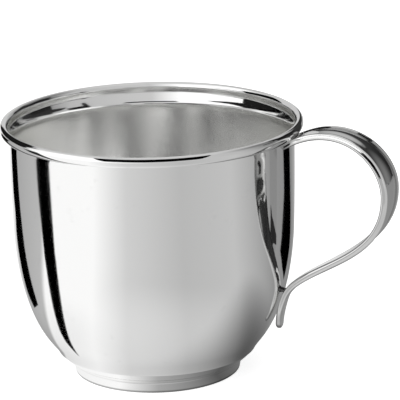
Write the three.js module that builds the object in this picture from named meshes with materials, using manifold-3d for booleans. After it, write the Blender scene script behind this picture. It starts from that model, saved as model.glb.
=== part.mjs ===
// Small silver drinking cup: raised bowl, rim wire, stepped foot ring and reeded strap handle.
// Millimetres, +Z up, standing on z = 0, with the handle towards +X.

import * as THREE from 'three';
import { mergeVertices } from 'three/addons/utils/BufferGeometryUtils.js';
import Module from 'manifold-3d';

// Bowl
const cupHeight = 65.3;
const mouthDiameter = 76;
const bowlSheet = 0.8;
const wireOverhang = 2.25;
const wallLean = 0.36;
const bellyHeight = 38;
const bellyRoundness = 14.6;
const bellySpread = 0.44;
const undersideRadius = 16;
const undersideHeight = 3.1;
const undersideRoundness = 14.4;
const lipFlare = 0.9;
const lipFlareHeight = 0.8;
const lipTopDrop = 2.3;

// Rim wire
const wireDepth = 2;
const wireHeight = 2.7;

// Foot ring
const footTopRadius = 25.2;
const footEdgeHeight = 0.2;
const footCreaseRadius = 21.5;
const footCreaseHeight = 2.7;
const footBottomRadius = 21;
const footSwell = 0.25;
const footSheet = 1;
const footSeatWidth = 1.4;

// Handle strap, its middle line
const headDrop = 4.25;
const headStandoff = 0.65;
const headRun = 12.5;
const headRise = 8.6;
const gripReach = 25.9;
const gripHeight = 50.3;
const gripRoundAbove = 10;
const gripRoundBelow = 17.7;
const crookHeight = 21.3;
const crookStandoff = 0.5;
const crookOpening = 1.5;
const crookRise = 8.8;
const tipHeight = 12.9;
const tipReach = 2.9;
const tailRound = 3;

// Handle strap, its section, with the widest and narrowest places as shares of its length
const strapThickness = 1.7;
const headWidth = 7.4;
const gripWidth = 11.6;
const waistWidth = 3.1;
const tailWidth = 4.3;
const tipWidth = 2.9;
const gripAt = 0.43;
const waistAt = 0.85;
const tailAt = 0.935;
const reedWidth = 1.3;
const reedRise = 0.4;
const ribRise = 0.3;
const edgeRounding = 0.25;

// Solder
const filmThickness = 0.3;
const headSeamLeg = 1.2;
const crookSeamLift = 1.2;
const crookSeamHeight = 1.7;
const seamMargin = 0.5;

// Clearances: between pieces turned about the same axis, and round the handle's cut ends
const seamGap = 0.1;
const jointGap = 0.3;

const turnSteps = 64;
const strapSteps = 54;
const tipSteps = 4;

// Places that follow from the sizes above
const mouthRadius = mouthDiameter / 2;
const wallRadius = mouthRadius - wireOverhang;
const lipTop = cupHeight - lipTopDrop;
const flareFoot = lipTop - lipFlareHeight;
const wireCentre = new THREE.Vector2(mouthRadius - wireDepth / 2, cupHeight - wireHeight / 2);
const headHeight = cupHeight - headDrop;

const wasm = await Module();
wasm.setup();

function toSolid(geometry) {
  const bare = geometry.clone();
  bare.deleteAttribute('normal');
  bare.deleteAttribute('uv');
  const merged = mergeVertices(bare, 1e-4);
  const vertProperties = new Float32Array(merged.attributes.position.array);
  const triVerts = new Uint32Array(merged.index.array);
  return new wasm.Manifold(new wasm.Mesh({ numProp: 3, vertProperties, triVerts }));
}

function toGeometry(solid) {
  const mesh = solid.getMesh();
  const geometry = new THREE.BufferGeometry();
  geometry.setAttribute('position', new THREE.BufferAttribute(new Float32Array(mesh.vertProperties), 3));
  geometry.setIndex(new THREE.BufferAttribute(new Uint32Array(mesh.triVerts), 1));
  geometry.computeVertexNormals();
  return geometry;
}

// Turns an outline of (radius, height) points, walked anticlockwise, about the cup's axis
function turned(profile) {
  const geometry = new THREE.LatheGeometry(profile, turnSteps);
  geometry.rotateX(Math.PI / 2);
  return geometry;
}

function turnedRing(profile) {
  return turned([...profile, profile[0]]);
}

// The two neighbouring points of an outline between which a coordinate passes a value
function neighbours(line, axis, value) {
  const found = line.findIndex((point) => point[axis] >= value);
  const i = THREE.MathUtils.clamp(found, 1, line.length - 1);
  return [line[i - 1], line[i]];
}

function radiusAt(line, height) {
  const [low, high] = neighbours(line, 'y', height);
  return THREE.MathUtils.mapLinear(height, low.y, high.y, low.x, high.x);
}

function heightAt(line, radius) {
  const [inner, outer] = neighbours(line, 'x', radius);
  return THREE.MathUtils.mapLinear(radius, inner.x, outer.x, inner.y, outer.y);
}

// Moves an outline sideways by a distance, to its right as it is walked
function moved(line, distance) {
  return line.map((point, i) => {
    const before = line[Math.max(i - 1, 0)];
    const after = line[Math.min(i + 1, line.length - 1)];
    const along = after.clone().sub(before).normalize();
    return new THREE.Vector2(point.x + along.y * distance, point.y - along.x * distance);
  });
}

// Stretch of an outline between two radii
function stretch(line, from, to) {
  const between = line.filter((point) => point.x > from && point.x < to);
  const [first, last] = [from, to].map((radius) => new THREE.Vector2(radius, heightAt(line, radius)));
  return [first, ...between, last];
}

// Outside of the bowl, from the flat underside up to where the lip begins
function wallOutline() {
  const belly = wallRadius - wallLean;
  const wallThird = (flareFoot - bellyHeight) / 3;
  const bellySlope = bellySpread / bellyRoundness;
  const round = new THREE.CubicBezierCurve(
    new THREE.Vector2(undersideRadius, undersideHeight),
    new THREE.Vector2(undersideRadius + undersideRoundness, undersideHeight),
    new THREE.Vector2(belly - bellySpread, bellyHeight - bellyRoundness),
    new THREE.Vector2(belly, bellyHeight),
  );
  const wall = new THREE.CubicBezierCurve(
    new THREE.Vector2(belly, bellyHeight),
    new THREE.Vector2(belly + wallThird * bellySlope, bellyHeight + wallThird),
    new THREE.Vector2(wallRadius, flareFoot - wallThird),
    new THREE.Vector2(wallRadius, flareFoot),
  );
  return [...round.getPoints(13), ...wall.getPoints(4).slice(1)];
}

// The lip turns outwards under the rim wire
function lipOutline() {
  const flare = new THREE.QuadraticBezierCurve(
    new THREE.Vector2(wallRadius, flareFoot),
    new THREE.Vector2(wallRadius, (flareFoot + lipTop) / 2),
    new THREE.Vector2(wallRadius + lipFlare, lipTop),
  );
  return flare.getPoints(3).slice(1);
}

const wallLine = wallOutline();
const lipLine = lipOutline();
const outline = [...wallLine, ...lipLine];
const footSeat = moved(outline, filmThickness + 2 * seamGap);

function bowl() {
  const inside = [
    ...moved(wallLine, -bowlSheet),
    ...lipLine.map((point) => new THREE.Vector2(point.x - bowlSheet, point.y)),
  ];
  inside[0] = new THREE.Vector2(undersideRadius, undersideHeight + bowlSheet);
  const underside = new THREE.Vector2(0, undersideHeight);
  const floor = new THREE.Vector2(0, undersideHeight + bowlSheet);
  return turned([underside, ...outline, ...inside.reverse(), floor]);
}

// Oval section of the rim wire, with a step cut in it where the lip sits
function wireSection(grow) {
  const across = wireDepth / 2 + grow;
  const up = wireHeight / 2 + grow;
  const step = new THREE.Vector2(
    wallRadius + lipFlare + seamGap - grow,
    lipTop + filmThickness + 2 * seamGap - grow,
  );
  const turns = [
    -Math.acos((step.x - wireCentre.x) / across),
    0,
    Math.PI / 2,
    Math.PI - Math.asin((step.y - wireCentre.y) / up),
  ];
  const arcs = turns.slice(1).map((turn, i) => (
    new THREE.EllipseCurve(wireCentre.x, wireCentre.y, across, up, turns[i], turn)
  ));
  return [...arcs.flatMap((arc) => arc.getPoints(5).slice(0, -1)), arcs[2].getPoint(1), step];
}

// Film of solder between the lip's top edge and the rim wire
function rimSolder() {
  const inner = wireCentre.x - wireDepth / 2;
  const outer = wallRadius + lipFlare;
  const low = lipTop + seamGap;
  const high = low + filmThickness;
  return turnedRing([
    new THREE.Vector2(inner, low),
    new THREE.Vector2(outer, low),
    new THREE.Vector2(outer, high),
    new THREE.Vector2(inner, high),
  ]);
}

// Outside of the foot ring: tapering lower band, crease, swelling upper band and top edge
function footOutline() {
  const bottom = new THREE.Vector2(footBottomRadius, 0);
  const crease = new THREE.Vector2(footCreaseRadius, footCreaseHeight);
  const shoulder = new THREE.Vector2(footTopRadius, heightAt(footSeat, footTopRadius) - footEdgeHeight);
  const swell = new THREE.Vector2(footSwell, -footSwell);
  const middle = crease.clone().add(shoulder).multiplyScalar(0.5).add(swell);
  const band = new THREE.QuadraticBezierCurve(crease, middle, shoulder);
  return [bottom, ...band.getPoints(3)];
}

// The foot ring is hollow, and its top is shaped to the bowl
function footRing() {
  const outside = footOutline();
  const inside = moved([outside[0], outside[1], outside[outside.length - 1]], -footSheet).slice(0, 2);
  inside[0].y = 0;
  const top = stretch(footSeat, footTopRadius - footSeatWidth, footTopRadius);
  return turnedRing([...outside, ...top.reverse(), ...inside.reverse()]);
}

// Film of solder between the bowl and the foot ring
function footSolder() {
  const inner = footTopRadius - footSeatWidth + seamGap;
  const outer = footTopRadius - seamGap;
  const above = stretch(moved(outline, seamGap), inner, outer);
  const below = stretch(moved(outline, seamGap + filmThickness), inner, outer);
  return turnedRing([...below, ...above.reverse()]);
}

// Middle line of the strap: arch from under the rim, return to the crook, and free tail
function strapPath() {
  const at = (x, z) => new THREE.Vector3(x, 0, z);
  const headSlope = headRise / headRun;
  const headRadius = wallRadius + headStandoff;
  const bedRadius = wallRadius - 2 * bowlSheet;
  const gripRadius = wallRadius + gripReach;
  const crookWall = radiusAt(outline, crookHeight);
  const crookRadius = crookWall + crookStandoff + strapThickness / 2;
  const crookRun = radiusAt(outline, crookHeight + crookRise) - crookWall + crookOpening;
  const crookShare = tailRound / Math.hypot(crookRun, crookRise);
  const tipRadius = radiusAt(outline, tipHeight) + tipReach;
  const path = new THREE.CurvePath();
  path.add(new THREE.LineCurve3(
    at(bedRadius, headHeight - (headRadius - bedRadius) * headSlope),
    at(headRadius, headHeight),
  ));
  path.add(new THREE.CubicBezierCurve3(
    at(headRadius, headHeight),
    at(headRadius + headRun, headHeight + headRise),
    at(gripRadius, gripHeight + gripRoundAbove),
    at(gripRadius, gripHeight),
  ));
  path.add(new THREE.CubicBezierCurve3(
    at(gripRadius, gripHeight),
    at(gripRadius, gripHeight - gripRoundBelow),
    at(crookRadius + crookRun, crookHeight + crookRise),
    at(crookRadius, crookHeight),
  ));
  path.add(new THREE.CubicBezierCurve3(
    at(crookRadius, crookHeight),
    at(crookRadius - crookRun * crookShare, crookHeight - crookRise * crookShare),
    at(tipRadius, tipHeight + tailRound),
    at(tipRadius, tipHeight),
  ));
  return path;
}

// Width of the strap at a share of its length
function strapWidth(share) {
  const stations = [0, gripAt, waistAt, tailAt, 1];
  const widths = [headWidth, gripWidth, waistWidth, tailWidth, tipWidth];
  const i = Math.max(stations.findIndex((station) => station >= share), 1);
  const blend = THREE.MathUtils.smoothstep(share, stations[i - 1], stations[i]);
  return THREE.MathUtils.lerp(widths[i - 1], widths[i], blend);
}

// Section across the strap, as (sideways, outwards) points: reed, groove, rib, groove, reed
function strapSection(width, grow) {
  const half = width / 2 + grow;
  const top = strapThickness / 2 + grow;
  const narrowing = Math.min(width / (4 * reedWidth), 1);
  const reed = (reedWidth / 2) * narrowing;
  const groove = new THREE.Vector2(half - 2 * reed - edgeRounding * narrowing, top - reedRise * narrowing);
  const rib = new THREE.Vector2(0, groove.y + ribRise * narrowing);
  const reedArc = new THREE.EllipseCurve(half - reed, top - reed, reed, reed, 0, Math.PI * 0.75);
  const side = [
    new THREE.Vector2(half - edgeRounding * narrowing, -top),
    new THREE.Vector2(half, -top + edgeRounding),
    ...reedArc.getPoints(3),
    groove,
    new THREE.Vector2(groove.x / 2, THREE.MathUtils.lerp(groove.y, rib.y, 0.75)),
  ];
  const otherSide = side.map((point) => new THREE.Vector2(-point.x, point.y)).reverse();
  return [...side, rib, ...otherSide];
}

// Shares of the strap's length at which it has a section, close together round the tip
function strapShares(length) {
  const tip = tipWidth / 2 / length;
  const shares = Array.from({ length: strapSteps + 1 }, (_, i) => (i / strapSteps) * (1 - tip));
  const round = Array.from({ length: tipSteps }, (_, i) => (
    1 - tip * (1 - Math.sin((i + 1) / (tipSteps + 1) * (Math.PI / 2)))
  ));
  return [...shares, ...round];
}

// Strap swept along its path with a rounded tip, thicker all round by the given growth
function strapSolid(grow) {
  const path = strapPath();
  const length = path.getLength();
  const sideways = new THREE.Vector3(0, 1, 0);
  const sections = [];
  const rings = [];
  for (const share of strapShares(length)) {
    const centre = path.getPointAt(share);
    const outwards = path.getTangentAt(share).cross(sideways).normalize();
    const fromTip = Math.min((1 - share) * length / (tipWidth / 2), 1);
    const narrowing = Math.sqrt(1 - (1 - fromTip) ** 2);
    const section = strapSection(strapWidth(share) * narrowing, grow);
    sections.push(section);
    rings.push(section.map((point) => (
      centre.clone().addScaledVector(sideways, point.x).addScaledVector(outwards, point.y)
    )));
  }
  return toSolid(skin(rings, sections));
}

// Joins rings of equally many points into a closed skin with flat ends
function skin(rings, sections) {
  const count = rings[0].length;
  const last = rings.length - 1;
  const triangles = [];
  for (let ring = 0; ring < last; ring += 1) {
    for (let k = 0; k < count; k += 1) {
      const a = ring * count + k;
      const b = ring * count + ((k + 1) % count);
      triangles.push(a, b, a + count, b, b + count, a + count);
    }
  }
  for (const [a, b, c] of THREE.ShapeUtils.triangulateShape(sections[0], [])) {
    triangles.push(a, c, b);
  }
  for (const corners of THREE.ShapeUtils.triangulateShape(sections[last], [])) {
    triangles.push(...corners.map((corner) => last * count + corner));
  }
  const geometry = new THREE.BufferGeometry();
  const numbers = rings.flat().flatMap((point) => point.toArray());
  geometry.setAttribute('position', new THREE.Float32BufferAttribute(numbers, 3));
  geometry.setIndex(triangles);
  return geometry;
}

// Room that the handle's cut ends leave round the bowl and the rim wire, and the solder round the strap
const bowlRoom = toSolid(turned([
  new THREE.Vector2(0, undersideHeight - jointGap),
  ...moved(outline, jointGap),
  new THREE.Vector2(wallRadius + lipFlare, cupHeight),
  new THREE.Vector2(0, cupHeight),
]));
const wireRoom = toSolid(turnedRing(wireSection(jointGap)));
const strapRoom = strapSolid(jointGap);

function handleStrap() {
  return toGeometry(strapSolid(0).subtract(bowlRoom).subtract(wireRoom));
}

// Wedge of solder between the wall and the strap, trimmed to both
function wedgeSolder(corners, width) {
  const shape = new THREE.Shape(corners);
  const wedge = new THREE.ExtrudeGeometry(shape, { depth: width, bevelEnabled: false });
  wedge.translate(0, 0, -width / 2);
  wedge.rotateX(Math.PI / 2);
  return toGeometry(toSolid(wedge).subtract(bowlRoom).subtract(strapRoom));
}

function upperHandleSolder() {
  const high = headHeight - strapThickness / 2;
  const low = high - headSeamLeg;
  const wall = radiusAt(outline, high);
  return wedgeSolder([
    new THREE.Vector2(wall - bowlSheet, low),
    new THREE.Vector2(wall + 2 * jointGap, low),
    new THREE.Vector2(wall + headSeamLeg, high + headSeamLeg * (headRise / headRun)),
    new THREE.Vector2(wall - bowlSheet, high),
  ], headWidth - 2 * seamMargin);
}

function lowerHandleSolder() {
  const low = crookHeight + crookSeamLift;
  const high = low + crookSeamHeight;
  const [, , strapReturn] = strapPath().curves;
  const middle = strapReturn.getPoints(strapSteps).map((p) => new THREE.Vector2(p.x, p.z)).reverse();
  return wedgeSolder([
    new THREE.Vector2(radiusAt(outline, low) - bowlSheet, low),
    new THREE.Vector2(radiusAt(middle, low), low),
    new THREE.Vector2(radiusAt(middle, high), high),
    new THREE.Vector2(radiusAt(outline, high) - bowlSheet, high),
  ], waistWidth - 2 * seamMargin);
}

function piece(name, geometry, color, roughness) {
  const mesh = new THREE.Mesh(geometry, new THREE.MeshStandardMaterial({ color, roughness, metalness: 1 }));
  mesh.name = name;
  return mesh;
}

const silver = 0xd9d8d4;
const solder = 0xc4c3bd;

const cup = new THREE.Group();
cup.add(piece('bowl', bowl(), silver, 0.05));
cup.add(piece('rim_wire', turnedRing(wireSection(0)), silver, 0.05));
cup.add(piece('foot_ring', footRing(), silver, 0.06));
cup.add(piece('handle_strap', handleStrap(), silver, 0.07));
cup.add(piece('rim_solder', rimSolder(), solder, 0.15));
cup.add(piece('foot_solder', footSolder(), solder, 0.2));
cup.add(piece('upper_handle_solder', upperHandleSolder(), solder, 0.15));
cup.add(piece('lower_handle_solder', lowerHandleSolder(), solder, 0.15));

// The origin is the middle of the space that the cup takes up on the table
const space = new THREE.Box3().setFromObject(cup);
cup.position.x = -(space.min.x + space.max.x) / 2;

export default cup;
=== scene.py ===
import math

import bmesh
import bpy
import numpy as np
from mathutils import Matrix, Vector


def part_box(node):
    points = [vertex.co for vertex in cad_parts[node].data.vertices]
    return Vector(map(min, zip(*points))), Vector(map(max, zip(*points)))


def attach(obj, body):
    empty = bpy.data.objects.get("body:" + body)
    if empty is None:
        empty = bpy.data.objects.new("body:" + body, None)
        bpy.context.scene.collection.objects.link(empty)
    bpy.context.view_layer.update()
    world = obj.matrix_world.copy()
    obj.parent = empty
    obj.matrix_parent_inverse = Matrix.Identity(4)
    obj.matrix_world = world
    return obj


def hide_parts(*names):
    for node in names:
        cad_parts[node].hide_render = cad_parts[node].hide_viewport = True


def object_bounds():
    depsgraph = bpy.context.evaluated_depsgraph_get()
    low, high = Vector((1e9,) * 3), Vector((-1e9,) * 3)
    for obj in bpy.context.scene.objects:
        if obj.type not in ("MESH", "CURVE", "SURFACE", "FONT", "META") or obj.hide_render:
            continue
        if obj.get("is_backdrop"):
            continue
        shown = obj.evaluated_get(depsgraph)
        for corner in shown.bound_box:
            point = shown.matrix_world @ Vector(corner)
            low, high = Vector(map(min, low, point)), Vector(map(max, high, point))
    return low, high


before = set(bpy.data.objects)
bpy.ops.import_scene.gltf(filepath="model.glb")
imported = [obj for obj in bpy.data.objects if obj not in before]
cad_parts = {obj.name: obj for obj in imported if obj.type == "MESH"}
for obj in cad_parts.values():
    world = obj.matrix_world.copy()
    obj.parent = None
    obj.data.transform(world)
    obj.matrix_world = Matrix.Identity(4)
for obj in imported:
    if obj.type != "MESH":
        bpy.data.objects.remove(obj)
cadLow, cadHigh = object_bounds()
bowlLow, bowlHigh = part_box("bowl")
cupAxis = (bowlLow.x + bowlHigh.x) / 2  # the cup turns about this line, which is left of the origin
mm = 0.001

# Sizes in millimetres that several pieces share, the same as in the solids
cup = {
    "height": 65.3,
    "mouthRadius": 38.0,
    "wallRadius": 35.75,
    "bellyRadius": 35.39,
    "bellyHeight": 38.0,
    "lipTop": 63.0,
    "lipFlare": 0.9,
    "sheet": 0.8,
    "around": 320,  # steps round the axis
}


def bezier(corners, steps):
    corners = np.array(corners, float)
    share = np.linspace(0, 1, steps + 1)[:, None]
    order = len(corners) - 1
    weights = [math.comb(order, i) * share**i * (1 - share) ** (order - i) for i in range(order + 1)]
    return sum(weight * corner for weight, corner in zip(weights, corners))


def arc(centre, across, up, start, end, steps):  # part of an oval, angles in degrees
    turn = np.radians(np.linspace(start, end, steps + 1))
    return np.column_stack([centre[0] + across * np.cos(turn), centre[1] + up * np.sin(turn)])


def joined(*lines):  # one line out of several, without the doubled points where they meet
    points = np.vstack(lines)
    step = np.linalg.norm(np.diff(points, axis=0), axis=1)
    return points[np.concatenate([[True], step > 1e-5])]


def offset(line, distance):  # to the right as the line is walked
    along = np.gradient(line, axis=0)
    along /= np.linalg.norm(along, axis=1)[:, None]
    return line + distance * np.column_stack([along[:, 1], -along[:, 0]])


def meshPiece(name, points, faces, **shares):
    mesh = bpy.data.meshes.new(name)
    mesh.from_pydata((np.asarray(points) * mm).tolist(), [], faces)
    for share, values in shares.items():  # patina and painted shade, or satin, at each point, 0 where the silver is bright
        field = mesh.attributes.new(share, "FLOAT", "POINT")
        field.data.foreach_set("value", np.asarray(values, np.float32))
    mesh.validate()
    piece = bpy.data.objects.new(name, mesh)
    bpy.context.scene.collection.objects.link(piece)
    work = bmesh.new()
    work.from_mesh(mesh)
    bmesh.ops.recalc_face_normals(work, faces=work.faces)
    for face in work.faces:
        face.smooth = True
    work.to_mesh(mesh)
    work.free()
    return piece


# A closed (radius, height) outline, or one with both ends on the axis, and shares such as patina and painted
# shade along it
def turned(name, outline, **shares):
    around = cup["around"]
    endsOnAxis = outline[0][0] < 1e-6
    ring = np.asarray(outline[1:-1] if endsOnAxis else outline, float)
    turn = np.arange(around) * 2 * math.pi / around
    x = cupAxis / mm + np.outer(np.cos(turn), ring[:, 0])
    y = np.outer(np.sin(turn), ring[:, 0])
    z = np.tile(ring[:, 1], (around, 1))
    points = np.stack([x, y, z], axis=2).reshape(-1, 3)
    count = len(ring)
    last = count - 1 if endsOnAxis else count
    faces = []
    for i in range(around):
        here, there = i * count, (i + 1) % around * count
        for k in range(last):
            up = (k + 1) % count
            faces.append((here + k, there + k, there + up, here + up))
    if endsOnAxis:
        for pole, k in ((outline[0], 0), (outline[-1], count - 1)):
            points = np.vstack([points, [cupAxis / mm, 0, pole[1]]])
            top = len(points) - 1
            faces += [(i * count + k, (i + 1) % around * count + k, top) for i in range(around)]
    spread = {}
    for share, values in shares.items():
        onRing = values[1:-1] if endsOnAxis else values
        poles = (values[0], values[-1]) if endsOnAxis else ()
        spread[share] = np.append(np.tile(onRing, around), poles)
    return meshPiece(name, points, faces, **spread)


def softened(piece, width, steps=3):  # small rounding of the sharp edges
    bevel = piece.modifiers.new("softEdges", "BEVEL")
    bevel.width = width * mm
    bevel.segments = steps
    bevel.limit_method = "ANGLE"
    bevel.angle_limit = math.radians(28)
    bevel.harden_normals = True
    return piece


def placed(piece, material, slot, *nodes):
    piece.data.materials.clear()
    piece.data.materials.append(material)
    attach(piece, "root")
    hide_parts(*nodes)


# Materials

silverLook = {
    "colour": (0.955, 0.955, 0.95),
    "roughness": (0.05, 0.085),  # least and most, over the polished surface
    "patchScale": 60.0,  # how many soft patches of wear there are to a metre
    "hairlines": 0.012,  # depth of the finest polishing lines
    "satin": 0.09,  # how much rougher the silver is where a tool can't polish it as well, inside the bowl
    "tarnish": (0.62, 0.62, 0.61),
    "patina": (0.05, 0.05, 0.05),  # near-black: patina where polishing doesn't reach, and painted shade along the foot's lowest edge and the strap's inner corners
}


def nodeOf(tree, kind, **values):
    node = tree.nodes.new(kind)
    for name, value in values.items():
        if name in node.inputs:
            node.inputs[name].default_value = value
        else:
            setattr(node, name, value)
    return node


def silverMaterial(name, look, tarnishAt=0.0, grain=(1, 1, 1)):
    material = bpy.data.materials.new(name)
    material.use_nodes = True
    tree = material.node_tree
    link = tree.links.new
    shader = tree.nodes["Principled BSDF"]
    shader.inputs["Metallic"].default_value = 1.0
    place = nodeOf(tree, "ShaderNodeTexCoord")
    stretch = nodeOf(tree, "ShaderNodeMapping")
    stretch.inputs["Scale"].default_value = grain
    link(place.outputs["Object"], stretch.inputs["Vector"])

    patches = nodeOf(tree, "ShaderNodeTexNoise", Scale=look["patchScale"], Detail=4.0, Roughness=0.55)
    link(place.outputs["Object"], patches.inputs["Vector"])
    wear = nodeOf(tree, "ShaderNodeMapRange")
    wear.inputs["From Min"].default_value = 0.35
    wear.inputs["From Max"].default_value = 0.7
    wear.inputs["To Min"].default_value = look["roughness"][0]
    wear.inputs["To Max"].default_value = look["roughness"][1]
    link(patches.outputs["Fac"], wear.inputs["Value"])
    inner = nodeOf(tree, "ShaderNodeAttribute", attribute_name="satin")
    rougher = nodeOf(tree, "ShaderNodeMath", operation="MULTIPLY_ADD")
    rougher.inputs[1].default_value = look["satin"]
    link(inner.outputs["Fac"], rougher.inputs[0])
    link(wear.outputs["Result"], rougher.inputs[2])
    link(rougher.outputs[0], shader.inputs["Roughness"])

    lines = nodeOf(tree, "ShaderNodeTexNoise", Scale=900.0, Detail=3.0, Roughness=0.6)
    link(stretch.outputs["Vector"], lines.inputs["Vector"])
    bump = nodeOf(tree, "ShaderNodeBump", Strength=look["hairlines"], Distance=0.0001)
    link(lines.outputs["Fac"], bump.inputs["Height"])
    link(bump.outputs["Normal"], shader.inputs["Normal"])

    film = nodeOf(tree, "ShaderNodeTexNoise", Scale=look["patchScale"] * 5, Detail=5.0, Roughness=0.6)
    link(place.outputs["Object"], film.inputs["Vector"])
    amount = nodeOf(tree, "ShaderNodeMapRange")
    amount.inputs["From Min"].default_value = 0.62 - tarnishAt
    amount.inputs["From Max"].default_value = 0.95 - tarnishAt
    amount.inputs["To Max"].default_value = 0.35
    link(film.outputs["Fac"], amount.inputs["Value"])
    mix = nodeOf(tree, "ShaderNodeMix", data_type="RGBA")
    mix.inputs["A"].default_value = (*look["colour"], 1)
    mix.inputs["B"].default_value = (*look["tarnish"], 1)
    link(amount.outputs["Result"], mix.inputs["Factor"])
    # darkens the silver towards near-black: patina in hollows and joints, and painted shade along edges
    dark = nodeOf(tree, "ShaderNodeAttribute", attribute_name="patina")
    darkened = nodeOf(tree, "ShaderNodeMix", data_type="RGBA")
    darkened.inputs["B"].default_value = (*look["patina"], 1)
    link(dark.outputs["Fac"], darkened.inputs["Factor"])
    link(mix.outputs["Result"], darkened.inputs["A"])
    link(darkened.outputs["Result"], shader.inputs["Base Color"])
    return material


seamLook = {"colour": (0.9, 0.9, 0.89), "roughness": (0.1, 0.16)}

bowlSilver = silverMaterial("bowl_silver", silverLook, grain=(1, 1, 0.05))
wireSilver = silverMaterial("wire_silver", silverLook, grain=(0.1, 0.1, 1))
footSilver = silverMaterial("foot_silver", silverLook, tarnishAt=0.04, grain=(0.1, 0.1, 1))
strapSilver = silverMaterial("strap_silver", silverLook, grain=(0.2, 1, 0.2))
seamSilver = silverMaterial("seam_silver", {**silverLook, **seamLook}, tarnishAt=0.1)
print("materials made")

# Bowl

bowlSizes = {
    "bellyRound": 14.6,
    "bellySpread": 0.44,
    "undersideRadius": 16.0,
    "undersideHeight": 3.1,
    "undersideRound": 14.4,
    "flareHeight": 0.8,
    "footBlend": 26.9,  # the radius from which the bowl runs down straight to the foot's edge
    "footEdge": (25.22, 5.86),
    "insideFlare": ((34.95, 58.8), (34.95, 60.6), (35.45, 61.6), (35.88, 62.85)),
    "lipRounding": 0.06,
    "satinHeights": (54.0, 60.0),  # inside: satin below the first, bright polish above the second
    "seatBand": (23.5, 27.0),  # the radii between which the wall runs down to the foot
}


def wallOutline():  # the outside, from the flat underside up to where the lip begins
    belly, middle, wall = cup["bellyRadius"], cup["bellyHeight"], cup["wallRadius"]
    underside, height = bowlSizes["undersideRadius"], bowlSizes["undersideHeight"]
    curve, spread = bowlSizes["bellyRound"], bowlSizes["bellySpread"]
    top = cup["lipTop"] - bowlSizes["flareHeight"]
    third = (top - middle) / 3
    lower = bezier([(underside, height), (underside + bowlSizes["undersideRound"], height),
                    (belly - spread, middle - curve), (belly, middle)], 70)
    upper = bezier([(belly, middle), (belly + third * spread / curve, middle + third),
                    (wall, top - third), (wall, top)], 24)
    edge = np.array(bowlSizes["footEdge"])
    at = int(np.searchsorted(lower[:, 0], bowlSizes["footBlend"]))
    back = int(np.searchsorted(lower[:, 1], edge[1] + 0.02))
    slope = (lower[at + 1] - lower[at]) / np.linalg.norm(lower[at + 1] - lower[at])
    blend = bezier([edge, edge + [0.12, 0.5], lower[at] - slope * 0.7, lower[at]], 14)
    return joined(lower[:back], blend, lower[at + 1:], upper)


def clearOfSeat(line):  # without the stretch that runs down to the foot
    inner, outer = bowlSizes["seatBand"]
    return line[(line[:, 0] < inner) | (line[:, 0] > outer)]


def lipOutline():  # the lip turns outwards under the wire
    wall, low, top = cup["wallRadius"], cup["lipTop"] - bowlSizes["flareHeight"], cup["lipTop"]
    return bezier([(wall, low), (wall, (low + top) / 2), (wall + cup["lipFlare"], top)], 12)


wallLine, lipLine = wallOutline(), lipOutline()
outside = joined(wallLine, lipLine)
inside = offset(clearOfSeat(wallLine), -cup["sheet"])
inside[0] = (bowlSizes["undersideRadius"], bowlSizes["undersideHeight"] + cup["sheet"])
flare = bezier(bowlSizes["insideFlare"], 16)
inside = joined(inside[inside[:, 1] < flare[0][1] - 0.2], flare, [(flare[-1][0], cup["lipTop"])])
flatSteps = np.array([0, 4, 8, 12])[:, None] * [1.0, 0.0]
outerLine = joined(flatSteps + [0, bowlSizes["undersideHeight"]], outside)
insideFloor = flatSteps[::-1] + [0, bowlSizes["undersideHeight"] + cup["sheet"]]
bowlLine = joined(outerLine, inside[::-1], insideFloor)
isInside = np.arange(len(bowlLine)) >= len(outerLine)
satin = np.interp(bowlLine[:, 1], bowlSizes["satinHeights"], (1, 0))
bowl = turned("cup_bowl", bowlLine, satin=satin * isInside)
softened(bowl, bowlSizes["lipRounding"])
placed(bowl, bowlSilver, "silver", "bowl")
print("bowl made")

# Rim wire, an oval wire that sits on the lip, and the solder in its corners

wireSizes = {"depth": 2.0, "height": 2.7, "stepSide": 0.1, "stepUnder": 0.5}


def wireOutline():
    across, up = wireSizes["depth"] / 2, wireSizes["height"] / 2
    centre = (cup["mouthRadius"] - across, cup["height"] - up)
    lipRadius = cup["wallRadius"] + cup["lipFlare"]
    step = (lipRadius + wireSizes["stepSide"], cup["lipTop"] + wireSizes["stepUnder"])
    start = -math.degrees(math.acos((step[0] - centre[0]) / across))
    end = 180 - math.degrees(math.asin((step[1] - centre[1]) / up))
    quarter = [arc(centre, across, up, *pair, 18) for pair in ((start, 0), (0, 90), (90, end))]
    return joined(*quarter, [step])


rimWire = turned("rim_wire_bead", wireOutline())
placed(rimWire, wireSilver, "silver", "rim_wire")

rimSeamSizes = {  # corners of each hollow fillet, as (radius, height)
    "inside": ((35.87, 62.7), (35.95, 63.3), (36.01, 64.0)),
    "under": ((36.8, 62.65), (36.25, 62.7), (35.9, 62.42)),
    "hidden": ((36.4, 64.2), (36.75, 63.4)),
    "inLip": (35.95, 62.75),
}


def rimSeamOutline():  # fills the corner inside and the corner under the wire
    inner, outer = (bezier(rimSeamSizes[side], 10) for side in ("inside", "under"))
    return joined(inner, rimSeamSizes["hidden"], outer, [rimSeamSizes["inLip"]])


rimSeam = turned("rim_solder_seam", rimSeamOutline())
placed(rimSeam, seamSilver, "solder", "rim_solder")
print("rim made")

# Foot ring

footSizes = {
    "topRadius": 25.2,
    "edgeHeight": 0.2,
    "creaseRadius": 21.5,
    "creaseHeight": 2.7,
    "bottomRadius": 21.0,
    "swell": 0.25,
    "sheet": 1.0,
    "seatWidth": 1.4,
    "seatGap": 0.5,
    "rounding": 0.08,
    # painted shade along the foot's lowest edge, by the floor
    "edgeShade": 0.6,
    "creasePatina": 0.12,
    "topPatina": 0.3,
    "edgeBand": (0.35, 0.55),  # the height up to which painted shade darkens the foot's lower edge, and where that ends
    "creaseBand": 0.12,
    "topBand": (0.15, 0.02),
}


def heightAt(line, radius):
    rising = clearOfSeat(line)
    return float(np.interp(radius, rising[:, 0], rising[:, 1]))


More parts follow.
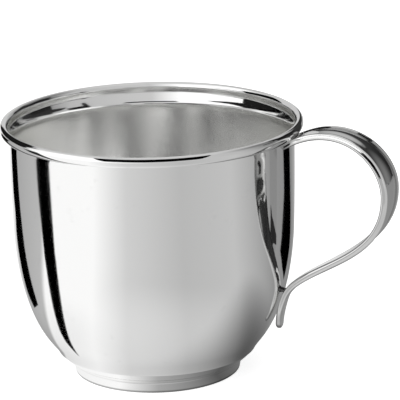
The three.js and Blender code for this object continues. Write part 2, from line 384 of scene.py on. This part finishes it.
def footOutline():
    seat = offset(outside, footSizes["seatGap"])
    top = footSizes["topRadius"]
    bottom = np.array([footSizes["bottomRadius"], 0.0])
    crease = np.array([footSizes["creaseRadius"], footSizes["creaseHeight"]])
    shoulder = np.array([top, heightAt(seat, top) - footSizes["edgeHeight"]])
    middle = (crease + shoulder) / 2 + [footSizes["swell"], -footSizes["swell"]]
    band = bezier([crease, middle, shoulder], 12)
    seatRadii = np.linspace(top, top - footSizes["seatWidth"], 8)
    seatLine = np.array([(r, heightAt(seat, r)) for r in seatRadii])
    hollow = offset(np.array([bottom, crease, shoulder]), -footSizes["sheet"])[:2][::-1]
    hollow[-1][1] = 0
    side = bezier([bottom, crease], 8)
    rise = np.array([0, 0.22, 0.45])[:, None]  # the lowest part, where painted shade darkens the foot
    return joined(bottom + (side[1] - bottom) * rise * 2, side[1:], band, seatLine, hollow)


def footPatinaAndShade(outline):
    s = footSizes
    radius, height = outline[:, 0], outline[:, 1]
    # painted shade on the lowest edge, by the floor; patina in the crease and at the top
    low = np.interp(height, s["edgeBand"], (s["edgeShade"], 0))
    crease = np.interp(abs(height - s["creaseHeight"]), (0, s["creaseBand"]), (s["creasePatina"], 0))
    topStart, topEnd = (s["topRadius"] - back for back in s["topBand"])
    top = np.interp(radius, (topStart, topEnd), (0, s["topPatina"]))
    return np.maximum(np.maximum(low, crease), top)


footLine = footOutline()
footRing = softened(turned("foot_ring_band", footLine, patina=footPatinaAndShade(footLine)), footSizes["rounding"])
placed(footRing, footSilver, "silver", "foot_ring")

footSeamSizes = {"inner": 23.9, "outer": 25.15, "reach": 0.2}


def footSeamOutline():  # a thin hollow fillet where the bowl sits in its foot
    over = offset(outside, 0.02)
    under = offset(outside, footSizes["seatGap"] - 0.02)
    radii = np.linspace(footSeamSizes["inner"], footSeamSizes["outer"], 8)
    low = np.array([(r, heightAt(under, r)) for r in radii])
    reach = footSeamSizes["outer"] + footSeamSizes["reach"]
    fillet = bezier([low[-1], (footSeamSizes["outer"] + 0.02, heightAt(over, footSeamSizes["outer"])),
                     (reach, heightAt(over, reach))], 8)
    high = np.array([(r, heightAt(over, r)) for r in radii])[::-1]
    return joined(low, fillet, high)


footSeam = turned("foot_solder_seam", footSeamOutline())
placed(footSeam, seamSilver, "solder", "foot_solder")
print("foot made")

# Handle strap

strapSizes = {
    "thickness": 1.7,
    "headRadius": 36.4,
    "headHeight": 61.05,
    "headRun": 12.5,
    "headRise": 8.6,
    "gripRadius": 61.65,
    "gripHeight": 50.3,
    "roundAbove": 10.0,
    "roundBelow": 17.7,
    "crookHeight": 21.3,
    "crookStandoff": 0.5,
    "crookOpening": 1.5,
    "crookRise": 8.8,
    "tipHeight": 12.9,
    "tipReach": 2.9,
    "tailRound": 3.0,
    "headThin": (0.18, 0.5, 0.3),  # up to which share, how much thinner below, and how far it lifts
    "headCurve": 2.5,  # how fast that fades away from the wall
    "ovalFrom": (0.78, 0.9),  # where along its length the strap turns from reeded to oval
    "stations": (0, 0.43, 0.85, 0.935, 1),
    "widths": (7.4, 11.6, 3.1, 4.3, 2.9),
    "reedWidth": 1.3,
    "reedRise": 0.4,
    "ribRise": 0.3,
    "edgeRounding": 0.22,
    "sideCrown": 0.07,  # how much the sides bulge
    # painted shade along the strap's inner corners, and patina with painted shade in its grooves
    "cornerShade": 0.75,
    "groovePatinaAndShade": 0.5,
    "headPatina": 0.8,
    "lengthwise": 260,
}


def radiusAt(line, height):
    return float(np.interp(height, line[:, 1], line[:, 0]))


def strapPath():  # the strap's middle line as (radius, height), evenly spaced
    s = strapSizes
    wall = radiusAt(outside, s["crookHeight"])
    crook = wall + s["crookStandoff"] + s["thickness"] / 2
    run = radiusAt(outside, s["crookHeight"] + s["crookRise"]) - wall + s["crookOpening"]
    share = s["tailRound"] / math.hypot(run, s["crookRise"])
    tip = radiusAt(outside, s["tipHeight"]) + s["tipReach"]
    bed = cup["wallRadius"] - 0.4
    slope = s["headRise"] / s["headRun"]
    head = (s["headRadius"], s["headHeight"])
    grip = (s["gripRadius"], s["gripHeight"])
    turn = (crook, s["crookHeight"])
    upper = [head, (head[0] + s["headRun"], head[1] + s["headRise"]),
             (grip[0], grip[1] + s["roundAbove"]), grip]
    lower = [grip, (grip[0], grip[1] - s["roundBelow"]), (crook + run, turn[1] + s["crookRise"]), turn]
    tail = [turn, (crook - run * share, turn[1] - s["crookRise"] * share),
            (tip, s["tipHeight"] + s["tailRound"]), (tip, s["tipHeight"])]
    start = (bed, head[1] - (head[0] - bed) * slope)
    line = joined([start], bezier(upper, 400), bezier(lower, 400), bezier(tail, 160))
    run = np.concatenate([[0], np.cumsum(np.linalg.norm(np.diff(line, axis=0), axis=1))])
    return line, run


def strapWidth(share):
    stations, widths = strapSizes["stations"], strapSizes["widths"]
    i = max(int(np.searchsorted(stations, share)), 1)
    blend = min(max((share - stations[i - 1]) / (stations[i] - stations[i - 1]), 0), 1)
    return widths[i - 1] + (widths[i] - widths[i - 1]) * blend * blend * (3 - 2 * blend)


# (sideways, outwards, patina and painted shade) points round the strap: side, reed, groove, broad rib,
# groove, reed
def strapSection(width, oval):
    s = strapSizes
    half, top = width / 2, s["thickness"] / 2
    narrow = min(width / (4 * s["reedWidth"]), 1)
    reed = s["reedWidth"] / 2 * narrow
    soft = min(s["edgeRounding"], half * 0.5)
    floor = top - s["reedRise"] * narrow
    grooveAt = max(half - 2 * reed - soft * narrow, half * 0.3)
    corner = arc((half - soft - s["sideCrown"], -top + soft), soft, soft, -90, 0, 6)
    height = np.linspace(0, 1, 9)[1:-1, None]
    crown = np.column_stack([half - s["sideCrown"] * (2 * height - 1) ** 2,
                             (-top + soft) * (1 - height) + (top - reed) * height])
    reedLine = arc((half - reed - s["sideCrown"] * 0.6, top - reed), reed, reed, 12, 118, 14)
    valley = bezier([reedLine[-1], (grooveAt + 0.1, floor), (grooveAt, floor)], 6)
    share = np.linspace(0, 1, 15)
    ribHeight = s["ribRise"] * narrow * (1 - np.cos(math.pi * share)) / 2
    rib = np.column_stack([grooveAt * (1 - share), floor + ribHeight])
    lines = [np.array([(half * 0.5, -top)]), corner, crown, reedLine, valley[1:], rib[1:]]
    # painted shade on the inner corner, patina with painted shade in the groove
    darks = [0, s["cornerShade"], 0, 0, s["groovePatinaAndShade"], 0]
    side = np.vstack([np.column_stack([line, np.full(len(line), dark)]) for line, dark in zip(lines, darks)])
    other = side[:-1][::-1] * [-1, 1, 1]
    section = np.vstack([side, other, [(0, -top, 0)]])
    size = (abs(section[:, 0] / half) ** 2.8 + abs(section[:, 1] / top) ** 2.8) ** (1 / 2.8)
    section[:, :2] *= (1 - oval + oval / size)[:, None]
    section[:, 2] *= 1 - oval
    return section


def strapPiece():
    line, run = strapPath()
    length = run[-1]
    tip = strapSizes["widths"][-1] / 2
    shares = np.linspace(0, 1 - tip / length, strapSizes["lengthwise"])
    turn = np.radians(np.linspace(0, 90, 15)[1:-1])
    shares = np.concatenate([shares, 1 - tip / length * (1 - np.sin(turn))])
    rings, patina = [], []
    for share in shares:
        at = share * length
        place = np.array([np.interp(at, run, line[:, 0]), np.interp(at, run, line[:, 1])])
        ahead = np.array([np.interp(at + 0.05, run, line[:, 0]), np.interp(at + 0.05, run, line[:, 1])])
        behind = np.array([np.interp(at - 0.05, run, line[:, 0]), np.interp(at - 0.05, run, line[:, 1])])
        along = (ahead - behind) / np.linalg.norm(ahead - behind)
        outwards = np.array([-along[1], along[0]])
        left = min((1 - share) * length / tip, 1)
        narrowing = math.sqrt(max(1 - (1 - left) ** 2, 0))
        oval = np.interp(share, strapSizes["ovalFrom"], (0, 1))
        section = strapSection(strapWidth(share) * narrowing, oval * oval * (3 - 2 * oval))
        section[:, 1] *= 0.25 + 0.75 * narrowing
        reach, thinner, lift = strapSizes["headThin"]
        head = max(1 - share / reach, 0) ** strapSizes["headCurve"]
        section[section[:, 1] < 0, 1] *= 1 - thinner * head
        section[:, 1] += lift * head
        across = cupAxis / mm + place[0] + outwards[0] * section[:, 1]
        rings.append(np.column_stack([across, section[:, 0], place[1] + outwards[1] * section[:, 1]]))
        patina += [max(p[2], strapSizes["headPatina"] * max(1 - share / 0.05, 0)) for p in section]
    count = len(rings[0])
    points = [p for ring in rings for p in ring]
    faces = []
    for i in range(len(rings) - 1):
        for k in range(count):
            a, b = i * count + k, i * count + (k + 1) % count
            faces.append((a, b, b + count, a + count))
    faces.append(tuple(range(count)))
    faces.append(tuple(range((len(rings) - 1) * count, len(rings) * count)))
    return meshPiece("handle_strap_reeded", points, faces, patina=patina)


strap = strapPiece()
placed(strap, strapSilver, "silver", "handle_strap")
print("handle made")

# Solder where the strap meets the wall

handleSeamSizes = {
    "headLeg": 0.8,
    "headWidth": 5.6,
    "crookLift": 1.2,
    "crookHeight": 1.1,
    "crookWidth": 2.0,
    "endSize": 0.35,  # how much of the seam's outline is left at its two ends
    "patina": 0.9,
}


def wedgePiece(name, outline, width):  # an outline in the handle's plane, with its ends drawn in
    outline = np.asarray(outline, float)
    centre = outline.mean(axis=0)
    rings = []
    for share in np.linspace(-1, 1, 17):
        endSize = handleSeamSizes["endSize"]
        shrink = endSize + (1 - endSize) * math.sqrt(max(1 - share**4, 0))
        ring = centre + (outline - centre) * shrink
        rings.append([(cupAxis / mm + p[0], share * width / 2, p[1]) for p in ring])
    count = len(outline)
    points = [p for ring in rings for p in ring]
    faces = []
    for i in range(len(rings) - 1):
        for k in range(count):
            a, b = i * count + k, i * count + (k + 1) % count
            faces.append((a, b, b + count, a + count))
    faces.append(tuple(range(count)))
    faces.append(tuple(range((len(rings) - 1) * count, len(rings) * count)))
    return meshPiece(name, points, faces, patina=np.full(len(points), handleSeamSizes["patina"]))


def upperSeamOutline():
    s, leg = strapSizes, handleSeamSizes["headLeg"]
    slope = s["headRise"] / s["headRun"]
    high = s["headHeight"] - s["thickness"] / 2 + 0.7
    wall = radiusAt(outside, high)
    underStrap = (wall + leg, high + leg * slope - 0.1)
    face = bezier([(wall - 0.05, high - leg), (wall + 0.25, high - 0.2), underStrap], 8)
    return joined(face, [(wall + leg, high + leg * slope + 0.3), (wall - 0.1, high + 0.2)])


upperSeam = wedgePiece("upper_handle_seam", upperSeamOutline(), handleSeamSizes["headWidth"])
placed(upperSeam, seamSilver, "solder", "upper_handle_solder")


def lowerSeamOutline():
    line, run = strapPath()
    lower = line[(line[:, 1] < strapSizes["gripHeight"]) & (line[:, 0] < 50)][::-1]
    low = strapSizes["crookHeight"] + handleSeamSizes["crookLift"]
    high = low + handleSeamSizes["crookHeight"]
    wallHigh, wallLow = radiusAt(outside, high), radiusAt(outside, low)
    strapHigh, strapLow = (radiusAt(lower, z) - strapSizes["thickness"] / 2 for z in (high, low))
    middleHigh, middleLow = (wallHigh + strapHigh) / 2, (wallLow + strapLow) / 2
    top = bezier([(wallHigh - 0.05, high), (middleHigh, high - 0.5), (strapHigh + 0.1, high + 0.1)], 6)
    bottom = bezier([(strapLow + 0.1, low), (middleLow, low + 0.3), (wallLow - 0.05, low)], 6)
    return joined(top, bottom)


lowerSeam = wedgePiece("lower_handle_seam", lowerSeamOutline(), handleSeamSizes["crookWidth"])
placed(lowerSeam, seamSilver, "solder", "lower_handle_solder")
print("handle seams made")

# Camera, at the place that the photo was taken from

cameraPlace = {
    "handleTurn": 20.0,  # degrees that the handle is turned towards the camera in the photo
    "place": (0.0338, -725.5889, 256.551),
    "right": (0.99951495, -0.02243624, -0.02159818),
    "down": (-0.02703917, -0.28110882, -0.95929491),
    "lens": 270.225,
}


def makeCamera():
    turn = Matrix.Rotation(math.radians(cameraPlace["handleTurn"]), 3, "Z")
    right = turn @ Vector(cameraPlace["right"])
    down = turn @ Vector(cameraPlace["down"])
    back = right.cross(-down)
    camera = bpy.data.objects.new("photo_camera", bpy.data.cameras.new("photo_camera"))
    bpy.context.scene.collection.objects.link(camera)
    camera.data.lens = cameraPlace["lens"]
    camera.data.sensor_width = 36
    camera.data.clip_start, camera.data.clip_end = 0.05, 20
    camera.matrix_world = Matrix((right, -down, back)).transposed().to_4x4()
    camera.location = turn @ Vector(cameraPlace["place"]) * mm + Vector((cupAxis, 0, 0))
    bpy.context.scene.camera = camera


makeCamera()

# Floor and light. Angles here are in degrees from the photo's right, anticlockwise
# from above, and places are in millimetres from the cup's axis

studio = {
    "floorColour": (0.93, 0.93, 0.93),
    "floorGlow": 0.72,  # how much of the floor's white is its own light, which keeps the shadow faint
    "worldStrength": 1.0,
    "overhead": 0.62,
    "overheadFrom": (0.7, 0.95),  # how far up a direction points where the overhead tone begins and is full
    "tableReach": 6000.0,
    "tableHeight": -0.2,
    "flagHeight": 0.1,
    "bounces": 40,  # enough for silver that reflects itself many times inside the bowl
}

# The ring of table under the foot: its inner radius and height, its outer radius and height, its angles
footTable = (20.5, -0.1, 24.3, -0.1, -180, 180)
firstReflection = 1.5  # the ray depth that parts the first reflection from the later ones

# What the polished outside sees of the table far away, as (angle, tone)
tableTones = (
    (-180, 1.0), (-135, 1.0), (-110, 0.65), (-70, 0.5), (-30, 0.55), (10, 0.3), (50, 0.25), (75, 0.55),
    (100, 1.0), (120, 0.9), (140, 0.4), (175, 0.5), (180, 1.0),
)

# Soft patches on the table: middle x and y, half sizes, turn, and how much darker the middle is
tablePatches = {
    "rightShade": (22, -6, 80, 35, -20, 0.8),
    "frontLight": (10, -47, 70, 50, 30, -0.2),
    "leftShade": (-35, -12, 40, 40, 0, 0.12),
}

# The table close round the foot, as (angle, tone), darkest at the front right with painted shadow of the cup
footTones = ((-180, 0.9), (-120, 1.0), (-90, 0.4), (-40, 0.1), (10, 0.2), (60, 0.5), (180, 0.9))

# What the rim and the handle see of the room, as (angle, tone)
roomTones = (
    (-180, 1.15), (-115, 1.1), (-90, 0.6), (-20, 0.5), (10, 0.2), (40, 0.2), (75, 0.6), (150, 0.6),
    (180, 1.15),
)

# Dark flags that lie on the table, as corners (x, y) in millimetres
tableFlags = {
    "leftFlag": ((-25, -13.2), (-29, -14), (-35, -15), (-48, -17.8), (-65, -21), (-88, -24),
                 (-120, -26.5), (-168, -25), (-233, -22), (-900, 20), (-900, 320), (-239, 42),
                 (-199, 27.5), (-165, 13), (-134, 2), (-101, -4.5), (-76, -7.8), (-57, -9.2),
                 (-42, -9.7), (-35, -10.7), (-29, -12.4)),
    "backLeftFlag": ((-50, 25), (-57, 15), (-60, 17), (-68, 23), (-84, 37), (-113, 67), (-143, 116),
                     (-173, 155), (-700, 560), (-480, 760), (-120, 192), (-100, 147), (-97, 122),
                     (-86, 105), (-71, 70), (-55, 42)),
    "rightFlag": ((62, 40), (80, 38), (104, 40), (118, 52), (128, 63), (140, 78), (154, 96), (184, 118),
                  (800, 480), (560, 640), (144, 156), (104, 112), (78, 72)),
}

# Dark flags that stand on edge: the corners (x, y, z) of each, and its tone
standingFlags = {
    "leftPanel": (((-66, 94, 66), (-115, 8, 66), (-115, 8, 135), (-66, 94, 135)), 0.0),
    "backPanel": (((48, 100, 72), (104, 100, 58), (260, 100, 58), (260, 100, 215), (160, 100, 215),
                   (138, 100, 150), (92, 100, 130), (50, 100, 126)), 0.03),
    "rightPanel": (((150, 20, 60), (150, 240, 60), (150, 240, 130), (150, 130, 140), (150, 90, 190),
                    (150, 45, 180), (150, 26, 120)), 0.015),
    "topRight": (((41, 10, 78), (41, 30, 78), (52, 37, 78), (60, 48, 78), (72, 60, 78), (90, 74, 78),
                  (200, 160, 78), (400, 260, 78), (400, 120, 78), (140, 48, 78), (100, 22, 78),
                  (76, 8, 78), (60, 8, 78)), 0.03),
    "topLeft": (((-34, -12, 78), (-34, 8, 78), (-38, 20, 78), (-20, 22, 78), (-20, 27, 78), (-34, 32, 78),
                 (-46, 42, 78), (-54, 52, 78), (-75, 82, 78), (-140, 150, 78), (-200, 100, 78),
                 (-160, 0, 78), (-100, -2, 78), (-64, -6, 78), (-50, -14, 78)), 0.01),
    "topEdge": (((55, -23, 78), (66, -24, 78), (66, -12, 78), (55, -12, 78)), 0.02),
    "topStrip": (((7, 21, 78), (28, 24, 78), (31, 31, 78), (25, 32, 78), (20, 27, 78), (7, 27, 78)), 0.06),
}

# Flags that are seen from one side only, so the handle or the rim sees them and the wall doesn't
handleFlags = {
    "handleGrey": (((9, -240, 45), (9, -240, 0), (9, -40, 0), (9, -40, 22), (9, -57, 30), (9, -57, 50),
                    (9, -76, 48), (9, -110, 46)), 0.42),
    "handleBlack": (((8, -62, 54), (8, -82, 62), (8, -110, 75), (8, -300, 140), (8, -300, 50),
                     (8, -110, 46), (8, -74, 48), (8, -60, 50.5), (8, -52, 52)), 0.0),
    "handleTop": (((8, 2, 94), (8, 30, 94), (8, 36, 130), (8, 60, 160), (8, 70, 230), (8, 6, 230),
                   (8, 0, 150)), 0.005),
    "handleStreak": (((8, 42, 98), (8, 56, 98), (8, 66, 130), (8, 84, 150), (8, 98, 190), (8, 104, 220),
                      (8, 84, 220), (8, 72, 170), (8, 60, 140), (8, 50, 120)), 0.03),
    "rimRight": (((44, -18, 67), (44.4, -13.5, 79), (44.8, -9, 88), (45.1, -5, 87), (44.9, -8, 77),
                  (46.4, 9, 75), (45.9, 4, 67)), 0.01),
}

# A dark card in the handle's loop for the wall. It doesn't show within its distance, so not on the handle
loopShade = {
    "corners": ((41.8, -12, 32.2), (46.5, -12, 31.3), (48, -12, 30), (54, -12, 30), (54, -12, 39.6),
                (52.5, -12, 39.4), (50, -12, 37.6), (47, -12, 37), (44, -12, 35.8), (42.3, -12, 34.8)),
    "tone": 0.02,
    "distance": 12.5,
}

# Small flags round the rim: lower radius and height, upper radius and height, first and last angle
rimFlags = {
    "frontRimFlag": (42.4, 75.0, 89.0, 75.0, -118, -62),
}

# Graded cards close behind the handle: the corners, the two ends of the line that the tone changes
# along, and the tones, as (share of that line, tone)
strapCards = {
    "strapUpper": (((39.5, -3, 61), (45, -3, 60), (52, -3, 57), (60, -3, 54), (68, -3, 51), (68, -3, 77),
                    (56, -3, 77), (50, -3, 84), (39.5, -3, 84)),
                   (47, -3, 57.36), (42.6, -3, 77.36),
                   ((0, 0.02), (0.65, 0.04), (0.8, 0.4), (1, 0.55))),
    "strapSide": (((68, -3, 50.5), (104, -3, 50.5), (104, -3, 76), (68, -3, 76)),
                  (68, -3, 60), (104, -3, 60), ((0, 0.03), (0.5, 0.2), (1, 0.25))),
    "strapLower": (((58.5, -3, 20), (84, -3, 20), (84, -3, 50.5), (68, -3, 51), (60, -3, 54),
                    (58.5, -3, 54.5)),
                   (70, -3, 20), (70, -3, 54), ((0, 0.26), (0.85, 0.25), (1, 0.14))),
}

# What the bowl sees reflected in the back of the handle: the card's radius and height at its lower and
# its upper edge, its first and last angle
strapShade = {"card": (200, 195, 200, 350, 48, 102), "tone": 0.03}


def inStudio(point):  # from millimetres round the cup's axis, with x to the photo's right, to the scene
    turn = Matrix.Rotation(math.radians(cameraPlace["handleTurn"]), 3, "Z")
    return turn @ (Vector(point) * mm) + Vector((cupAxis, 0, 0))


def stage(name, points, faces):
    mesh = bpy.data.meshes.new(name)
    mesh.from_pydata([inStudio(point) for point in points], [], faces)
    piece = bpy.data.objects.new(name, mesh)
    bpy.context.scene.collection.objects.link(piece)
    piece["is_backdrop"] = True
    return piece


def reflectedOnly(card, material):  # only the silver sees it
    card.data.materials.append(material)
    card.visible_camera = False
    card.visible_diffuse = False
    card.visible_shadow = False
    card.visible_transmission = False


def angleNodes(tree, vector):  # 0 to 1 for -180 to 180 degrees round the cup's axis
    centre = nodeOf(tree, "ShaderNodeMapping")
    centre.inputs["Location"].default_value = (-cupAxis, 0, 0)
    back = nodeOf(tree, "ShaderNodeMapping")
    back.inputs["Rotation"].default_value = (0, 0, -math.radians(cameraPlace["handleTurn"]))
    gradient = nodeOf(tree, "ShaderNodeTexGradient", gradient_type="RADIAL")
    tree.links.new(vector, centre.inputs["Vector"])
    tree.links.new(centre.outputs["Vector"], back.inputs["Vector"])
    tree.links.new(back.outputs["Vector"], gradient.inputs["Vector"])
    return gradient.outputs["Fac"]


def toneNodes(tree, fac, tones, start=-180, end=180):
    node = nodeOf(tree, "ShaderNodeValToRGB")
    ramp = node.color_ramp
    while len(ramp.elements) < len(tones):
        ramp.elements.new(0.5)
    for element, (angle, tone) in zip(ramp.elements, tones):
        element.position = (angle - start) / (end - start)
        element.color = (tone, tone, tone, 1)
    tree.links.new(fac, node.inputs["Fac"])
    return node.outputs["Color"]


def patchNodes(tree, vector, patch):  # 1 all over, and darker or lighter towards the middle of the patch
    x, y, along, across, turn, depth = patch
    middle = inStudio((x, y, 0))
    ease = nodeOf(tree, "ShaderNodeMapping", vector_type="TEXTURE")
    ease.inputs["Location"].default_value = middle
    ease.inputs["Rotation"].default_value = (0, 0, math.radians(turn + cameraPlace["handleTurn"]))
    ease.inputs["Scale"].default_value = (along * mm, across * mm, 1)
    ball = nodeOf(tree, "ShaderNodeTexGradient", gradient_type="SPHERICAL")
    depthOf = nodeOf(tree, "ShaderNodeMapRange", interpolation_type="SMOOTHSTEP")
    depthOf.inputs["To Min"].default_value = 1
    depthOf.inputs["To Max"].default_value = 1 - depth
    tree.links.new(vector, ease.inputs["Vector"])
    tree.links.new(ease.outputs["Vector"], ball.inputs["Vector"])
    tree.links.new(ball.outputs["Fac"], depthOf.inputs["Value"])
    return depthOf.outputs["Result"]


def alongNodes(tree, vector, start, end):  # 0 to 1 from one point to another
    first = inStudio(start)
    way = inStudio(end) - first
    way /= way.length_squared
    ahead = nodeOf(tree, "ShaderNodeVectorMath", operation="DOT_PRODUCT")
    ahead.inputs[1].default_value = way
    share = nodeOf(tree, "ShaderNodeMath", operation="SUBTRACT")
    share.inputs[1].default_value = first.dot(way)
    tree.links.new(vector, ahead.inputs[0])
    tree.links.new(ahead.outputs["Value"], share.inputs[0])
    return share.outputs[0]


def cardMaterial(name, tone=0.0, tones=None, patches=(), firstOnly=False, laterOnly=False, oneSided=False,
                 along=None, beyond=None):
    material = bpy.data.materials.new(name)
    material.use_nodes = True
    tree = material.node_tree
    tree.nodes.clear()
    link = tree.links.new
    glow = nodeOf(tree, "ShaderNodeEmission", Color=(tone, tone, tone, 1))
    place = nodeOf(tree, "ShaderNodeTexCoord").outputs["Object"]
    if along:
        link(toneNodes(tree, alongNodes(tree, place, *along), tones, 0, 1), glow.inputs["Color"])
    elif tones:
        link(toneNodes(tree, angleNodes(tree, place), tones), glow.inputs["Color"])
    strength = glow.inputs["Strength"]
    for patch in patches:  # each one darkens what the others leave
        times = nodeOf(tree, "ShaderNodeMath", operation="MULTIPLY")
        times.inputs[1].default_value = 1.0
        link(patchNodes(tree, place, patch), times.inputs[0])
        link(times.outputs[0], strength)
        strength = times.inputs[1]
    out = nodeOf(tree, "ShaderNodeOutputMaterial")
    surface = glow.outputs["Emission"]
    hidden = []
    if firstOnly or laterOnly:  # seen in the first reflection only, or in reflections of reflections only
        path = nodeOf(tree, "ShaderNodeLightPath")
        later = nodeOf(tree, "ShaderNodeMath", operation="GREATER_THAN" if firstOnly else "LESS_THAN")
        later.inputs[1].default_value = firstReflection
        link(path.outputs["Ray Depth"], later.inputs[0])
        hidden.append(later.outputs[0])
    if beyond:
        near = nodeOf(tree, "ShaderNodeMath", operation="LESS_THAN")
        near.inputs[1].default_value = beyond * mm
        link(nodeOf(tree, "ShaderNodeLightPath").outputs["Ray Length"], near.inputs[0])
        hidden.append(near.outputs[0])
    if oneSided:
        hidden.append(nodeOf(tree, "ShaderNodeNewGeometry").outputs["Backfacing"])
    for share in hidden:
        clear = nodeOf(tree, "ShaderNodeBsdfTransparent")
        mix = nodeOf(tree, "ShaderNodeMixShader")
        link(share, mix.inputs[0])
        link(surface, mix.inputs[1])
        link(clear.outputs[0], mix.inputs[2])
        surface = mix.outputs[0]
    link(surface, out.inputs["Surface"])
    return material


def atAngle(radius, angle, height):
    return (radius * math.cos(math.radians(angle)), radius * math.sin(math.radians(angle)), height)


def coneCard(name, lowRadius, low, highRadius, high, start, end):  # part of a cone, tube or flat ring
    steps = max(int(abs(end - start) / 2), 2)
    angles = np.linspace(start, end, steps + 1)
    points = []
    for angle in angles:
        points += [atAngle(lowRadius, angle, low), atAngle(highRadius, angle, high)]
    return stage(name, points, [(2 * i, 2 * i + 2, 2 * i + 3, 2 * i + 1) for i in range(steps)])


def flatCard(name, corners):
    return stage(name, corners, [tuple(range(len(corners)))])


scene = bpy.context.scene
scene.view_settings.view_transform = "Standard"
scene.cycles.max_bounces = studio["bounces"]
scene.cycles.glossy_bounces = studio["bounces"]

world = bpy.data.worlds.new("studio")
scene.world = world
world.use_nodes = True
tree = world.node_tree
place = nodeOf(tree, "ShaderNodeTexCoord")
side = toneNodes(tree, angleNodes(tree, place.outputs["Generated"]), roomTones)
split = nodeOf(tree, "ShaderNodeSeparateXYZ")
tree.links.new(place.outputs["Generated"], split.inputs[0])
up = nodeOf(tree, "ShaderNodeMapRange", interpolation_type="SMOOTHSTEP")
up.inputs["From Min"].default_value = studio["overheadFrom"][0]
up.inputs["From Max"].default_value = studio["overheadFrom"][1]
tree.links.new(split.outputs["Z"], up.inputs["Value"])
mix = nodeOf(tree, "ShaderNodeMix", data_type="RGBA")
tree.links.new(up.outputs["Result"], mix.inputs["Factor"])
tree.links.new(side, mix.inputs[6])
mix.inputs[7].default_value = (studio["overhead"],) * 3 + (1,)
tree.links.new(mix.outputs[2], tree.nodes["Background"].inputs["Color"])
tree.nodes["Background"].inputs["Strength"].default_value = studio["worldStrength"]

reach = studio["tableReach"]
square = ((-reach, -reach), (reach, -reach), (reach, reach), (-reach, reach))
floor = flatCard("floor", [(x, y, 0) for x, y in square])
floorMaterial = bpy.data.materials.new("floor_white")
floorMaterial.use_nodes = True
floorShader = floorMaterial.node_tree.nodes["Principled BSDF"]
floorShader.inputs["Base Color"].default_value = (*studio["floorColour"], 1)
floorShader.inputs["Roughness"].default_value = 0.9
floorShader.inputs["Specular IOR Level"].default_value = 0.0
floorShader.inputs["Emission Color"].default_value = (1, 1, 1, 1)
floorShader.inputs["Emission Strength"].default_value = studio["floorGlow"]
floor.data.materials.append(floorMaterial)
floor.visible_glossy = False

table = flatCard("table_card", [(x, y, studio["tableHeight"]) for x, y in square])
reflectedOnly(table, cardMaterial("table_tones", tones=tableTones, patches=tablePatches.values()))
reflectedOnly(coneCard("foot_table_card", *footTable), cardMaterial("foot_tones", tones=footTones))
for name, corners in tableFlags.items():
    flag = flatCard(name, [(x, y, studio["flagHeight"]) for x, y in corners])
    reflectedOnly(flag, cardMaterial(name))
for name, (corners, tone) in standingFlags.items():
    reflectedOnly(flatCard(name, corners), cardMaterial(name, tone))
for name, (corners, tone) in handleFlags.items():
    reflectedOnly(flatCard(name, corners), cardMaterial(name, tone, oneSided=True))
loopMaterial = cardMaterial("loop_shade", loopShade["tone"], oneSided=True, beyond=loopShade["distance"])
reflectedOnly(flatCard("loop_shade", loopShade["corners"]), loopMaterial)
for name, sizes in rimFlags.items():
    reflectedOnly(coneCard(name, *sizes), cardMaterial(name, firstOnly=True))
strapMaterial = cardMaterial("strap_shade", strapShade["tone"], laterOnly=True)
reflectedOnly(coneCard("strap_shade", *strapShade["card"]), strapMaterial)
for name, (corners, start, end, tones) in strapCards.items():
    graded = cardMaterial(name, tones=tones, along=(start, end), oneSided=True)
    reflectedOnly(flatCard(name, corners), graded)
print("studio made")

low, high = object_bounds()
sizes = {"cad": [list(cadLow), list(cadHigh)], "visual": [list(low), list(high)]}
